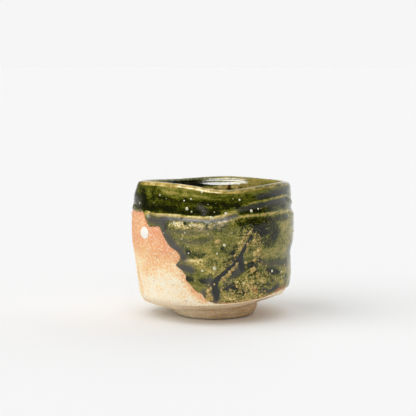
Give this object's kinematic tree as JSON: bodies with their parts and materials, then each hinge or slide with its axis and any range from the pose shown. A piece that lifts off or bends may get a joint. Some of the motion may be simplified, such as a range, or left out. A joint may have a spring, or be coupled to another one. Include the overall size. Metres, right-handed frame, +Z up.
{
  "type": "guinomi sake cup",
  "caption": "Small hand-formed stoneware sake cup with a carved foot ring, a bare clay side and a thick, runny green ash glaze.",
  "frame": {"origin": "centre of the foot ring's resting face, where the cup stands", "axes": "+Z up through the mouth, -Y towards the pictured front with the glass run, +X to the picture's right"},
  "size_m": [0.0652, 0.0639, 0.0553],
  "materials": {
    "bare_clay": "unglazed stoneware, salmon orange at the top and cream towards the foot, grainy",
    "foot_clay": "unglazed stoneware, carved, greyish tan",
    "green_glaze": "glossy transparent ash glaze, olive to near black where thick, tan on the edges",
    "lining_glaze": "glossy olive green lining",
    "dark_glass": "very glossy, near black glass where the ash glaze ran together",
    "feldspar": "milky white grains melted into the surface",
    "ash": "half-melted tan ash crumbs, rough with glassy edges"
  },
  "bodies": {
    "root": {"clay_bowl": "bare_clay", "foot_ring": "foot_clay", "outer_glaze": "green_glaze", "inner_glaze": "lining_glaze", "glass_runs": "dark_glass", "feldspar_stones": "feldspar", "ash_crumbs": "ash"}
  },
  "joints": []
}
